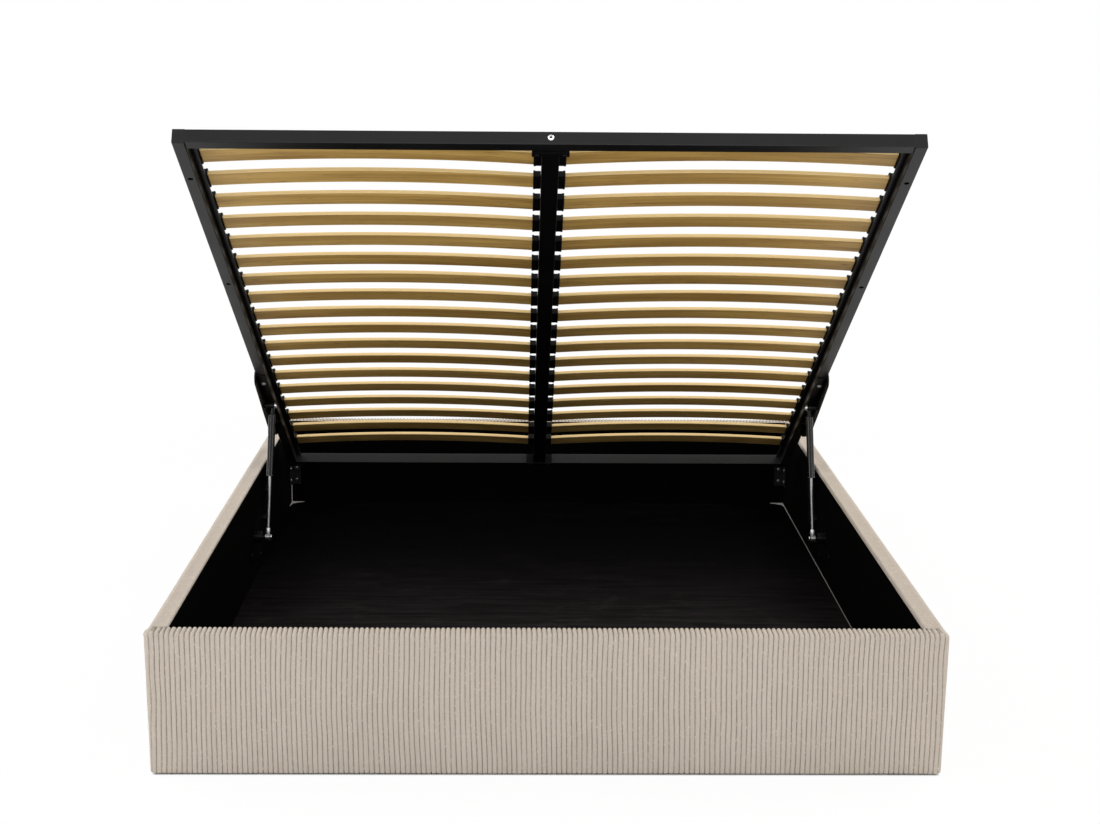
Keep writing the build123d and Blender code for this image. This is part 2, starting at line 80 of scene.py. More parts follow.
# Shader writing: sockets with operators, and one method that adds any other node

# Sockets of the Mix node when it mixes colours
MIX_FACTOR, MIX_FIRST, MIX_SECOND, MIX_RESULT = 0, 6, 7, 2


class Wire:
    """A shader socket that takes part in sums."""

    def __init__(self, shade, socket):
        self.shade = shade
        self.socket = socket

    def _math(self, operation, *values):
        return self.shade.add("Math", {"operation": operation}, dict(enumerate(values)))

    def __add__(self, other):
        return self._math("ADD", self, other)

    __radd__ = __add__

    def __sub__(self, other):
        return self._math("SUBTRACT", self, other)

    def __rsub__(self, other):
        return self._math("SUBTRACT", other, self)

    def __mul__(self, other):
        return self._math("MULTIPLY", self, other)

    __rmul__ = __mul__

    def __truediv__(self, other):
        return self._math("DIVIDE", self, other)

    def __rtruediv__(self, other):
        return self._math("DIVIDE", other, self)

    def __pow__(self, other):
        return self._math("POWER", self, other)

    def __lt__(self, other):
        return self._math("LESS_THAN", self, other)

    def __gt__(self, other):
        return self._math("GREATER_THAN", self, other)

    def abs(self):
        return self._math("ABSOLUTE", self)

    def sine(self):
        return self._math("SINE", self)

    def clamp(self):
        return self.shade.add("Clamp", {}, {0: self})

    def above(self, start, gain):
        """0 up to the start, then rising to 1 at this gain."""
        return ((self - start) * gain).clamp()

    def below(self, start, gain):
        """0 down to the start, then rising to 1 at this gain."""
        return ((start - self) * gain).clamp()


class Shade:
    """One material. What is the same all over is set on the surface shader's own sockets."""

    def __init__(self, name, **constants):
        self.material = bpy.data.materials.new(name)
        self.material.use_nodes = True
        self.tree = self.material.node_tree
        self.surface = self.tree.nodes["Principled BSDF"]
        for socket, value in constants.items():
            self.surface.inputs[socket.replace("_", " ")].default_value = value

    def add(self, kind, settings, values, output=0):
        node = self.tree.nodes.new("ShaderNode" + kind)
        for name, value in settings.items():
            setattr(node, name, value)
        for key, value in values.items():
            socket = node.inputs[key]
            if isinstance(value, Wire):
                self.tree.links.new(value.socket, socket)
            else:
                socket.default_value = value
        return Wire(self, node.outputs[output])

    def place(self):
        return self.add("TexCoord", {}, {}, "Object")

    def parts(self, vector):
        split = self.add("SeparateXYZ", {}, {0: vector})
        return [Wire(self, output) for output in split.socket.node.outputs]

    def noise(self, vector, scale, detail, roughness):
        values = {"Vector": vector, "Scale": scale, "Detail": detail, "Roughness": roughness}
        return self.add("TexNoise", {"noise_dimensions": "3D"}, values)

    def grain(self, scales, detail, roughness, vector=None):
        """Noise with its own scale along each axis."""
        values = {"Vector": vector or self.place(), "Scale": scales}
        stretched = self.add("Mapping", {"vector_type": "POINT"}, values)
        return self.noise(stretched, 1.0, detail, roughness)

    def attribute(self, name):
        return self.add("Attribute", {"attribute_name": name}, {}, "Fac")

    def mix(self, factor, first, second):
        values = {MIX_FACTOR: factor, MIX_FIRST: first, MIX_SECOND: second}
        return self.add("Mix", {"data_type": "RGBA"}, values, MIX_RESULT)

    def bump(self, height, distance, strength, normal=None):
        values = {"Height": height, "Distance": distance, "Strength": strength}
        if normal:
            values["Normal"] = normal
        return self.add("Bump", {}, values)

    def feed(self, socket, wire):
        self.tree.links.new(wire.socket, self.surface.inputs[socket])


def screen_to_light(value):
    return value / 12.92 if value <= 0.04045 else ((value + 0.055) / 1.055) ** 2.4


def rgb(red, green, blue):
    """A colour given as 0 to 255 screen values."""
    return tuple(screen_to_light(value / 255) for value in (red, green, blue)) + (1.0,)


def grey(value, red=0, green=0, blue=0):
    """A grey screen value with a slight cast."""
    return rgb(value + red, value + green, value + blue)


# Finishes

# Places where the finish of a piece changes
BOLT_HEIGHT = 1262 * MM
BOLT_CENTRE = 1272.8 * MM
# Reach of the painted shade in the recess of the foot rail's bolt
SHADED_RECESS_REACH = 2.1 * MM
ARM_BOLT_HEIGHT = 570 * MM
ARM_BOLT_REACH = 12 * MM
ARM_BOLT_SHARE = 0.45
BRACKET_ZONE = 0.9
PIN_HEAD = 4.2 * MM
# Where the floor board's painted light begins towards the foot end, and how fast it grows
PAINTED_LIGHT_START = 0.6
PAINTED_LIGHT_GAIN = 1.1


def corduroy():
    """Wide-wale cotton corduroy: flat-topped wales, thin grooves darkened by painted shade that
    comes and goes, fuzz.
    """
    sheen = {"Sheen_Weight": 0.2, "Sheen_Roughness": 0.45, "Sheen_Tint": rgb(234, 230, 221)}
    shade = Shade("greige_corduroy", Roughness=0.93, Specular_IOR_Level=0.2, **sheen)
    groove, wale = shade.attribute("groove"), shade.attribute("wale")
    nap = shade.grain((5, 5, 3), detail=3, roughness=0.55)
    streak = shade.grain((120, 120, 16), detail=3, roughness=0.6)
    tuft = shade.grain((380, 380, 150), detail=2, roughness=0.6)
    weave = shade.grain((700, 700, 330), detail=2, roughness=0.6)
    fibre = shade.noise(shade.place(), 850.0, detail=3, roughness=0.7)
    pile = shade.mix(nap, rgb(180, 170, 158), rgb(194, 184, 173))
    pile = shade.mix((streak * 0.6 + wale * 0.3).clamp(), pile, rgb(169, 158, 146))
    pile = shade.mix(fibre.above(0.54, 5.0), pile, rgb(211, 202, 192))
    pile = shade.mix(fibre.below(0.44, 5.0) * 0.6, pile, rgb(146, 135, 122))
    # Painted shade: the grooves are darkened with their depth, more in some places than others
    groove_painted_shade = (groove**1.7).clamp() * (streak.above(0.34, 4.0) * 0.45 + 0.55)
    pile_with_groove_shade = shade.mix(groove_painted_shade * 0.95, pile, rgb(70, 62, 53))
    fuzz = (groove * 3.0).clamp() * tuft.above(0.6, 12.0)
    shade.feed("Base Color", shade.mix(fuzz * 0.8, pile_with_groove_shade, rgb(228, 221, 208)))
    skin = shade.bump(fibre * 0.6 + weave * 0.4, 0.8 * MM, 0.7)
    shade.feed("Normal", shade.bump(streak, 2 * MM, 0.3, skin))
    return shade.material


def birch():
    """Bent birch plywood: fine grain along the slat, paler ply edges, a few brown flecks."""
    shade = Shade("birch_plywood", Coat_Weight=0.12, Coat_Roughness=0.35)
    plank, ply, edge = (shade.attribute(name) for name in ("plank", "ply", "edge"))
    moved = shade.add("CombineXYZ", {}, {"X": plank * 7.0, "Y": plank * 3.0})
    shifted = shade.add("VectorMath", {"operation": "ADD"}, {0: shade.place(), 1: moved})
    grain = shade.grain((2.2, 95, 95), detail=5, roughness=0.62, vector=shifted)
    cloud = shade.grain((1.1, 16, 16), detail=3, roughness=0.5, vector=shifted)
    fleck = shade.grain((22, 190, 190), detail=2, roughness=0.5, vector=shifted)
    face = shade.mix(cloud.above(0.34, 2.8), rgb(194, 158, 87), rgb(142, 108, 47))
    face = shade.mix(grain.above(0.42, 3.6) * 0.8, face, rgb(125, 88, 38))
    face = shade.mix(plank * 0.3, face, rgb(192, 158, 92))
    face = shade.mix(fleck.above(0.64, 10.0) * 0.7, face, rgb(104, 64, 32))
    veneers = 5
    veneer = ((ply * (veneers * 2 * pi)).sine() * 0.5 + 0.5) ** 3.0
    cut = shade.mix(veneer * 0.5, rgb(223, 195, 138), rgb(197, 156, 97))
    shade.feed("Base Color", shade.mix(edge, face, cut))
    shade.feed("Roughness", grain * 0.2 + 0.38 + edge * 0.18)
    shade.feed("Normal", shade.bump(grain + veneer * edge * 0.5, 0.5 * MM, 0.4))
    return shade.material


def powder_coat(name, tone, roughness, peel, shine):
    """Baked black paint with orange peel, patches of dust and rubbed patches."""
    shade = Shade(name, Specular_IOR_Level=shine)
    place = shade.place()
    skin = shade.noise(place, 420.0, detail=2, roughness=0.5)
    rub = shade.noise(place, 9.0, detail=4, roughness=0.6)
    dust = shade.noise(place, 60.0, detail=3, roughness=0.65)
    fresh, rubbed, dusty = (grey(tone + more, red=1) for more in (0, 5, 30))
    worn = shade.mix(rub.above(0.5, 2.2) * 0.6, fresh, rubbed)
    shade.feed("Base Color", shade.mix(dust.above(0.6, 4.0) * 0.14, worn, dusty))
    shade.feed("Roughness", rub * 0.16 + roughness)
    shade.feed("Normal", shade.bump(skin, 0.4 * MM, peel))
    return shade.material


def plated_steel(name, light, dark, roughness, brushing=(1500, 240, 240)):
    """Plated steel with a fine brushed grain and duller patches."""
    shade = Shade(name, Metallic=1.0)
    patch = shade.noise(shade.place(), 70.0, detail=3, roughness=0.6)
    scratch = shade.grain(brushing, detail=2, roughness=0.6)
    bright, dull = grey(light, green=1, blue=2), grey(dark, green=1)
    shade.feed("Base Color", shade.mix(patch, bright, dull))
    shade.feed("Roughness", patch * 0.2 + scratch * 0.1 + roughness)
    shade.feed("Normal", shade.bump(scratch, 0.2 * MM, 0.25))
    return shade.material


def part_plated(name, light, where):
    """Black oxide steel that is bright zinc in places: where(x, y, z) gives how bright."""
    shade = Shade(name, Specular_IOR_Level=0.15)
    place = shade.place()
    bright = where(*shade.parts(place))
    patch = shade.noise(place, 90.0, detail=3, roughness=0.6)
    zinc = grey(light, green=1, blue=2)
    shade.feed("Base Color", shade.mix(bright, grey(7, blue=1), zinc))
    shade.feed("Metallic", bright)
    shade.feed("Roughness", patch * 0.2 + 0.2)
    shade.feed("Normal", shade.bump(patch, 0.3 * MM, 0.3))
    return shade.material


def bolt_brightness(x, y, z):
    """The foot rail's bolt is bright round its recess, which is dark steel as painted shade; the
    lift arms' bolts are duller.
    """
    rise = z - BOLT_CENTRE
    # Painted shade: the recess in the middle of the foot rail's bolt stays dark
    centre = (z > BOLT_HEIGHT) * (x * x + rise * rise > SHADED_RECESS_REACH**2)
    return centre + ((z - ARM_BOLT_HEIGHT).abs() < ARM_BOLT_REACH) * ARM_BOLT_SHARE


def screw_brightness(x, y, z):
    """Only the screws in the corner brackets are bright."""
    return y.abs() > BRACKET_ZONE


def pin_brightness(node):
    """The inner heads of a pair of pins are bright."""
    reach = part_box(node)[0].x + PIN_HEAD
    return lambda x, y, z: x.abs() < reach


def moulded_plastic(name, low, high, shine):
    """Black moulded polypropylene with a fine spark-eroded skin."""
    shade = Shade(name, Specular_IOR_Level=shine)
    place = shade.place()
    skin = shade.noise(place, 1300.0, detail=2, roughness=0.5)
    flow = shade.noise(place, 26.0, detail=3, roughness=0.55)
    shade.feed("Base Color", shade.mix(flow, grey(low), grey(high, blue=1)))
    shade.feed("Roughness", flow * 0.18 + 0.42)
    shade.feed("Normal", shade.bump(skin, 0.2 * MM, 0.4))
    return shade.material


def black_lining():
    """Board faced with a thin black non-woven lining."""
    shade = Shade("black_lining", Specular_IOR_Level=0.01)
    felt = shade.noise(shade.place(), 800.0, detail=3, roughness=0.7)
    patch = shade.grain((3, 1.4, 3), detail=4, roughness=0.6)
    shade.feed("Base Color", shade.mix(patch, grey(2), grey(5, red=1)))
    shade.feed("Roughness", patch * 0.15 + 0.8)
    shade.feed("Normal", shade.bump(felt, 0.5 * MM, 0.5))
    return shade.material


def black_floor_board():
    """Thin board with a black printed wood face, scuffed and specked towards the foot end, lighter
    there with painted light and darker further in with painted shade.
    """
    shade = Shade("black_floor_board", Specular_IOR_Level=0.01)
    grain = shade.grain((4.0, 46, 46), detail=6, roughness=0.75)
    scuff = shade.grain((9, 16, 9), detail=6, roughness=0.75)
    speck = shade.noise(shade.place(), 240.0, detail=2, roughness=0.6)
    # Painted light and shade: lighter towards the foot end, darker further in under the platform;
    # the scuffs and specks follow the same share
    painted_light_and_dust = shade.parts(shade.place())[1].below(PAINTED_LIGHT_START, PAINTED_LIGHT_GAIN) ** 1.6
    figured = grain.above(0.4, 3.6)
    painted_shade_face = shade.mix(figured, rgb(1, 1, 1), rgb(4, 3, 3))
    # The lighter colour towards the foot end is painted light
    dusty = shade.mix(figured, rgb(17, 15, 15), rgb(42, 38, 40))
    face = shade.mix(painted_light_and_dust, painted_shade_face, dusty)
    face = shade.mix(scuff.above(0.55, 5.0) * (painted_light_and_dust * 0.5 + 0.04), face, rgb(56, 52, 52))
    face = shade.mix(speck.above(0.76, 20.0) * painted_light_and_dust * 0.6, face, rgb(96, 92, 90))
    shade.feed("Base Color", face)
    shade.feed("Roughness", scuff * 0.2 + grain * 0.1 + 0.55)
    shade.feed("Normal", shade.bump(grain, 0.6 * MM, 0.3))
    return shade.material


def raw_board():
    """Raw particle board, chips of several tones."""
    shade = Shade("raw_particle_board", Roughness=0.85)
    place = shade.place()
    values = {"Vector": place, "Scale": 260.0}
    chip = shade.add("TexVoronoi", {"feature": "F1"}, values, "Color")
    tone = shade.noise(place, 40.0, detail=3, roughness=0.6)
    base = shade.mix(tone, rgb(186, 154, 112), rgb(160, 126, 84))
    shade.feed("Base Color", shade.mix(chip * 0.35, base, rgb(120, 88, 56)))
    shade.feed("Normal", shade.bump(tone, 1 * MM, 0.4))
    return shade.material


def pale_edging():
    """Pale finish of the strips and flaps where the floor board and its lining meet the walls."""
    shade = Shade("pale_edging", Roughness=0.8)
    grain = shade.grain((120, 18, 120), detail=4, roughness=0.6)
    shade.feed("Base Color", shade.mix(grain, rgb(120, 118, 114), rgb(176, 173, 167)))
    shade.feed("Normal", shade.bump(grain, 0.6 * MM, 0.4))
    return shade.material


def strut_enamel():
    """Gloss black enamel on the pressure tube."""
    shade = Shade("strut_enamel", Specular_IOR_Level=0.26)
    place = shade.place()
    cloud = shade.noise(place, 30.0, detail=3, roughness=0.55)
    skin = shade.noise(place, 500.0, detail=2, roughness=0.5)
    shade.feed("Base Color", shade.mix(cloud, grey(3, blue=1), grey(7, blue=1)))
    shade.feed("Roughness", cloud * 0.08 + 0.07)
    shade.feed("Normal", shade.bump(skin, 0.2 * MM, 0.2))
    return shade.material


# Mesh helpers


def new_piece(name, vertices, faces, material, smooth=True):
    mesh = bpy.data.meshes.new(name)
    mesh.from_pydata(vertices, [], faces)
    mesh.validate()
    mesh.materials.append(material)
    mesh.polygons.foreach_set("use_smooth", [smooth] * len(mesh.polygons))
    piece = bpy.data.objects.new(name, mesh)
    bpy.context.scene.collection.objects.link(piece)
    return piece


def set_attribute(piece, name, values):
    layer = piece.data.attributes.new(name, "FLOAT", "POINT")
    layer.data.foreach_set("value", values)


def finish_piece(piece, body, slot, *replaced):
    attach(piece, body)
    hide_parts(*replaced)


def rework(mesh, change):
    """Run one change on a mesh's editable copy and write it back."""
    work = bmesh.new()
    work.from_mesh(mesh)
    change(work)
    work.to_mesh(mesh)
    work.free()


def outward(piece):
    """Turn every face outwards."""
    rework(piece.data, lambda work: bmesh.ops.recalc_face_normals(work, faces=work.faces))
    return piece


def loop_faces(start, count):
    """Faces between a closed loop of vertices and the next loop of the same length."""
    faces = []
    for i in range(count):
        a, b = start + i, start + (i + 1) % count
        faces.append((a, b, b + count, a + count))
    return faces


def paint(names, material):
    for name in names:
        mesh = nodes[name].data
        mesh.materials.clear()
        mesh.materials.append(material)


# Covers: ribbed corduroy round the four panels

FOOT_LOW, FOOT_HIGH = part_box("foot_cover")
FOOT_FACE = FOOT_LOW.y
HEAD_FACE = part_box("head_cover")[1].y
BOX_HALF_WIDTH = FOOT_HIGH.x
SIDE_HALF_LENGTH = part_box("side_cover_left")[1].y
PANEL_THICKNESS = FOOT_HIGH.y - FOOT_LOW.y
HEM_DROP = 1.0 * MM
COVER_BOTTOM = FOOT_LOW.z - HEM_DROP
COVER_TOP = FOOT_HIGH.z

# Wales
WALE_PITCH = 10.2 * MM
WALE_DEPTH = 3.0 * MM
WALE_PHASES = (0.0, 0.06, 0.16, 0.33, 0.5, 0.67, 0.84, 0.94)
FACE_FLATNESS = 3.6
TOP_ROUNDING = 2.0
TOP_DEEPENING = 1.7 * MM
INNER_DEPTH_SHARE = 0.4
TONE_STEP = 1.7
TONE_ROW = 0.3
COLUMN_MARGIN = 0.02

# Fullness of the cloth, and where it is pulled over the inner edge or folded at a corner
TOP_SWELL = 4.0 * MM
CROWN_LIFT = 1.6 * MM
CROWN_GAIN = 4.4
CROWN_SHARPNESS = 6
FOLD_SPREAD = 26.0 * MM
LEFT_FOLD = 4.5 * MM
RIGHT_FOLD = 1.5 * MM

# Slow waves of the cloth: per metre along, per metre up, step of the seed, height
SLOW_SWAY = (2.3, 4.0, 0, 6.0 * MM)
SMALL_SWAY = (15.0, 14.0, 5, 1.5 * MM)
PUFF = (7.0, 9.0, 9, 0.8 * MM)
CALM_REACH = 20.0 * MM

# Cross-section, and the rows of vertices on each of its parts
EDGE_RADIUS = 12.0 * MM
INNER_RADIUS = 8.0 * MM
HEM_RADIUS = 5.0 * MM
HEM_REACH = 9.0 * MM
CORNER_RADIUS = 11.0 * MM
TURN_DOWN = 11.0 * MM
HEM_ROWS, FACE_ROWS, SHOULDER_ROWS, INNER_ROWS = 3, 12, 4, 5
CLOTH_THICKNESS = 2.0 * MM
MERGE_REACH = 0.05 * MM
INNER_CENTRE = (PANEL_THICKNESS - INNER_RADIUS, COVER_TOP - INNER_RADIUS)


def arc(centre, radius, start, end, steps):
    """Points and outward normals on an arc of the cross-section, in inward depth and height."""
    rows = []
    for i in range(steps + 1):
        angle = radians(start + (end - start) * i / steps)
        normal = (cos(angle), sin(angle))
        rows.append((centre[0] + radius * normal[0], centre[1] + radius * normal[1], *normal))
    return rows


def face_rows():
    """Cross-section from the hem under the panel up to the top of the shoulder."""
    low, high = COVER_BOTTOM + HEM_RADIUS, COVER_TOP - EDGE_RADIUS
    rows = [(HEM_REACH, COVER_BOTTOM, 0.0, -1.0)]
    rows += arc((HEM_RADIUS, low), HEM_RADIUS, 270, 180, HEM_ROWS)
    rows += [(0.0, low + (high - low) * i / FACE_ROWS, -1.0, 0.0) for i in range(1, FACE_ROWS)]
    return rows + arc((EDGE_RADIUS, high), EDGE_RADIUS, 180, 90, SHOULDER_ROWS)


def top_rows():
    """Cross-section from the shoulder over the top and down the inside."""
    middle = (EDGE_RADIUS + INNER_CENTRE[0]) / 2
    rows = [(depth, COVER_TOP, 0.0, 1.0) for depth in (EDGE_RADIUS, middle)]
    rows += arc(INNER_CENTRE, INNER_RADIUS, 90, 0, INNER_ROWS)
    return rows + [(PANEL_THICKNESS, COVER_TOP - TURN_DOWN, 1.0, 0.0)]


def flat_top_rows():
    """Cross-section of an end cover's top where a side cover meets it."""
    depths = (EDGE_RADIUS, PANEL_THICKNESS / 2, PANEL_THICKNESS)
    return [(depth, COVER_TOP, 0.0, 1.0) for depth in depths]


def round_corner(along):
    """Plan of an end cover: place and outward normal at a distance along it from the middle."""
    side = 1 if along >= 0 else -1
    along = abs(along)
    straight = BOX_HALF_WIDTH - CORNER_RADIUS
    if along <= straight:
        return side * along, 0.0, 0.0, -1.0
    angle = (along - straight) / CORNER_RADIUS
    if angle <= pi / 2:
        x = straight + CORNER_RADIUS * sin(angle)
        y = CORNER_RADIUS - CORNER_RADIUS * cos(angle)
        return side * x, y, side * sin(angle), -cos(angle)
    rest = along - straight - CORNER_RADIUS * pi / 2
    return side * BOX_HALF_WIDTH, CORNER_RADIUS + rest, side * 1.0, 0.0


def straight_plan(along):
    return along, 0.0, 0.0, -1.0


def full_fade(along, height):
    return 1.0


def corner_fade(along, height):
    """The wales of an end cover flatten at the top of its two end leaves."""
    if abs(along) <= BOX_HALF_WIDTH - CORNER_RADIUS:
        return 1.0
    return min(1.0, max(0.0, (COVER_TOP - height) / INNER_RADIUS))


def whole_pitch(length):
    """The pitch nearest to the real one that fits a whole number of times."""
    return length / round(length / WALE_PITCH)


def wale_columns(low, high, pitch):
    """Places across the wales, close together at each groove."""
    first, last = int(low // pitch) - 1, ceil(high / pitch) + 1
    margin = pitch * COLUMN_MARGIN
    inner = [(i + phase) * pitch for i in range(first, last) for phase in WALE_PHASES]
    return [low] + [place for place in inner if low + margin < place < high - margin] + [high]


def wale_height(along, pitch, flatness):
    """Height of the wale, from 0 in the groove to 1 on its crown."""
    across = 2 * abs((along / pitch) % 1.0 - 0.5)
    return max(0.0, 1 - across**flatness) ** 0.5


class ClothSheet:
    """Grid of ribbed cloth in a cover's own frame: outer face towards -Y, depth along +Y."""

    def __init__(self, pitch, seed, folds=()):
        self.pitch = pitch
        self.seed = seed
        self.folds = folds
        self.vertices, self.faces = [], []
        self.groove, self.wale = [], []

    def wave(self, kind, along, level):
        across, up, step, height = kind
        spot = Vector((along * across, level * up, self.seed + step))
        return height * noise.noise(spot)

    def sway(self, along, level):
        """How far a wale wanders sideways at a height."""
        return self.wave(SLOW_SWAY, along, level) + self.wave(SMALL_SWAY, along, level)

    def fold(self, along):
        """Fuller shoulder where the cloth is folded round a corner of the panel."""
        bulge = 0.0
        for place, height in self.folds:
            bulge += height * exp(-(((along - place) / FOLD_SPREAD) ** 2))
        return bulge

    def tone(self, along):
        """Tone of the wale at a place, from 0 to 1."""
        number = int((along / self.pitch) // 1.0)
        spot = Vector((number * TONE_STEP, TONE_ROW, self.seed))
        return noise.noise(spot) * 0.5 + 0.5

    def add_point(self, along, row, plan, strength, calm):
        """One vertex: strength 0 flattens the wales, and calm 0 stills the cloth at an end."""
        depth, height, inward, upward = row
        level = height - depth
        outside, inside, over = max(0.0, -inward), max(0.0, inward), max(0.0, upward)
        x, y, normal_x, normal_y = plan(along + self.sway(along, level) * calm)
        rise = wale_height(along, self.pitch, FACE_FLATNESS - TOP_ROUNDING * over)
        share = 1 - (1 - INNER_DEPTH_SHARE) * inside**2
        sink = (WALE_DEPTH + TOP_DEEPENING * over) * (1 - rise) * strength * share
        sink = max(sink - self.wave(PUFF, along, level) * calm * share, 0.0)
        sink -= TOP_SWELL * outside * height / COVER_TOP
        sink -= 2 * outside * over * self.fold(along)
        sink -= CROWN_GAIN * CROWN_LIFT * rise * inside * over**CROWN_SHARPNESS
        x -= normal_x * (depth - inward * sink)
        y -= normal_y * (depth - inward * sink)
        self.vertices.append((x, y, height - upward * sink))
        # Depth of the groove here; the cloth's colour darkens with it as painted shade
        self.groove.append((1 - rise) * strength)
        self.wale.append(self.tone(along))

    def add_grid(self, columns, rows, plan, fade):
        start, width = len(self.vertices), len(columns)
        for row in rows:
            for along in columns:
                edge = min(columns[-1] - along, along - columns[0])
                calm = min(1.0, edge / CALM_REACH)
                self.add_point(along, row, plan, fade(along, row[1]), calm)
        for j in range(len(rows) - 1):
            for i in range(width - 1):
                a = start + j * width + i
                self.faces.append((a, a + 1, a + width + 1, a + width))

    def piece(self, name, material, placing):
        made = new_piece(name, self.vertices, self.faces, material)
        set_attribute(made, "groove", self.groove)
        set_attribute(made, "wale", self.wale)
        reach = MERGE_REACH
        rework(made.data, lambda work: bmesh.ops.remove_doubles(work, verts=work.verts, dist=reach))
        made.data.transform(placing)
        thicken = made.modifiers.new("cloth", "SOLIDIFY")
        thicken.thickness = CLOTH_THICKNESS
        thicken.offset = -1
        return made


def close_cover(cloth, name, placing, material):
    piece = cloth.piece(name + "_corduroy", material, placing)
    finish_piece(piece, "base", "cover_fabric", name)


def end_cover(name, placing, seed, material):
    """Cover of the foot or head panel, folded round both corners."""
    pitch = whole_pitch(2 * BOX_HALF_WIDTH)
    straight, leaf = BOX_HALF_WIDTH - CORNER_RADIUS, PANEL_THICKNESS - CORNER_RADIUS
    reach = straight + CORNER_RADIUS * pi / 2 + leaf
    inner, shoulder = BOX_HALF_WIDTH - PANEL_THICKNESS, BOX_HALF_WIDTH - EDGE_RADIUS
    cloth = ClothSheet(pitch, seed, ((-BOX_HALF_WIDTH, LEFT_FOLD), (BOX_HALF_WIDTH, RIGHT_FOLD)))
    cloth.add_grid(wale_columns(-reach, reach, pitch), face_rows(), round_corner, corner_fade)
    cloth.add_grid(wale_columns(-inner, inner, pitch), top_rows(), straight_plan, full_fade)
    for low, high in ((inner, shoulder), (-shoulder, -inner)):
        cloth.add_grid(wale_columns(low, high, pitch), flat_top_rows(), straight_plan, full_fade)
    close_cover(cloth, name, placing, material)


def side_cover(name, placing, seed, material):
    """Cover of a side panel, straight from end to end."""
    length = 2 * SIDE_HALF_LENGTH
    pitch = whole_pitch(length)
    cloth = ClothSheet(pitch, seed)
    columns = wale_columns(-SIDE_HALF_LENGTH, SIDE_HALF_LENGTH, pitch)
    cloth.add_grid(columns, face_rows() + top_rows()[1:], straight_plan, full_fade)
    close_cover(cloth, name, placing, material)


def turned_to(x, y, angle):
    return Matrix.Translation((x, y, 0)) @ Matrix.Rotation(angle, 4, "Z")


def add_covers(material):
    end_cover("foot_cover", turned_to(0, FOOT_FACE, 0), 1.5, material)
    end_cover("head_cover", turned_to(0, HEAD_FACE, pi), 4.2, material)
    left, right = turned_to(-BOX_HALF_WIDTH, 0, -pi / 2), turned_to(BOX_HALF_WIDTH, 0, pi / 2)
    side_cover("side_cover_left", left, 7.9, material)
    side_cover("side_cover_right", right, 11.3, material)


# Geometry trees and the pieces they repeat


class Recipe:
    """One geometry tree with named inputs."""

    def __init__(self, name, **inputs):
        self.group = bpy.data.node_groups.new(name, "GeometryNodeTree")
        face = self.group.interface
        face.new_socket(name="Geometry", in_out="OUTPUT", socket_type="NodeSocketGeometry")
        face.new_socket(name="Places", in_out="INPUT", socket_type="NodeSocketGeometry")
        for label, kind in inputs.items():
            face.new_socket(name=label, in_out="INPUT", socket_type="NodeSocket" + kind)
        self.start = self.group.nodes.new("NodeGroupInput")
        self.end = self.group.nodes.new("NodeGroupOutput")

    def given(self, label):
        return self.start.outputs[label]

    def add(self, kind, settings=None, values=None, output=0):
        node = self.group.nodes.new(kind)
        for name, value in (settings or {}).items():
            setattr(node, name, value)
        for key, value in (values or {}).items():
            socket = node.inputs[key]
            if isinstance(value, bpy.types.NodeSocket):
                self.group.links.new(value, socket)
            else:
                socket.default_value = value
        return node.outputs[output]

    def math(self, operation, first, second=0.0):
        return self.add("ShaderNodeMath", {"operation": operation}, {0: first, 1: second})

    def vector(self, **parts):
        return self.add("ShaderNodeCombineXYZ", {}, parts)

    def rotation(self, euler):
        return self.add("FunctionNodeEulerToRotation", {}, {"Euler": euler})

    def store(self, geometry, label, value):
        settings = {"data_type": "FLOAT", "domain": "POINT"}
        values = {"Geometry": geometry, "Name": label, "Value": value}
        return self.add("GeometryNodeStoreNamedAttribute", settings, values)

    def named_vector(self, label):
        settings = {"data_type": "FLOAT_VECTOR"}
        return self.add("GeometryNodeInputNamedAttribute", settings, {"Name": label})

    def close(self, geometry):
        """The tree always ends in real geometry with its material set."""
        real = self.add("GeometryNodeRealizeInstances", {}, {"Geometry": geometry})
        values = {"Geometry": real, "Material": self.given("Material")}
        dressed = self.add("GeometryNodeSetMaterial", {}, values)
        self.group.links.new(dressed, self.end.inputs["Geometry"])

    def make(self, name, carrier, **values):
        """Run the tree on the carrier's points and keep the result as a plain mesh."""
        modifier = carrier.modifiers.new(name, "NODES")
        modifier.node_group = self.group
        for item in self.group.interface.items_tree:
            if item.in_out == "INPUT" and item.name in values:
                modifier[item.identifier] = values[item.name]
        evaluated = carrier.evaluated_get(bpy.context.evaluated_depsgraph_get())
        mesh = bpy.data.meshes.new_from_object(evaluated)
        mesh.name = name
        carrier.modifiers.remove(modifier)
        bpy.data.objects.remove(carrier)
        piece = bpy.data.objects.new(name, mesh)
        bpy.context.scene.collection.objects.link(piece)
        return piece


def carrier_of(name, places, **vectors):
    """Loose points that a tree puts its parts on, with a vector attribute for each name."""
    mesh = bpy.data.meshes.new(name)
    mesh.from_pydata(places, [], [])
    for label, values in vectors.items():
        layer = mesh.attributes.new(label, "FLOAT_VECTOR", "POINT")
        layer.data.foreach_set("vector", [number for value in values for number in value])
    carrier = bpy.data.objects.new(name, mesh)
    bpy.context.scene.collection.objects.link(carrier)
    return carrier


def repeat_recipe():
    """Copies of one part, turned and stretched as each point says."""
    tree = Recipe("repeat_part", Part="Object", Material="Material")
    values = {"Object": tree.given("Part")}
    part = tree.add("GeometryNodeObjectInfo", {}, values, "Geometry")
    values = {"Points": tree.given("Places"), "Instance": part}
    values["Rotation"] = tree.rotation(tree.named_vector("turn"))
    values["Scale"] = tree.named_vector("stretch")
    tree.close(tree.add("GeometryNodeInstanceOnPoints", {}, values))
    return tree


def even_normals(piece):
    """Smooth shading that keeps the flat faces flat."""
    piece.data.polygons.foreach_set("use_smooth", [True] * len(piece.data.polygons))
    weighted = piece.modifiers.new("even_normals", "WEIGHTED_NORMAL")
    weighted.keep_sharp = True


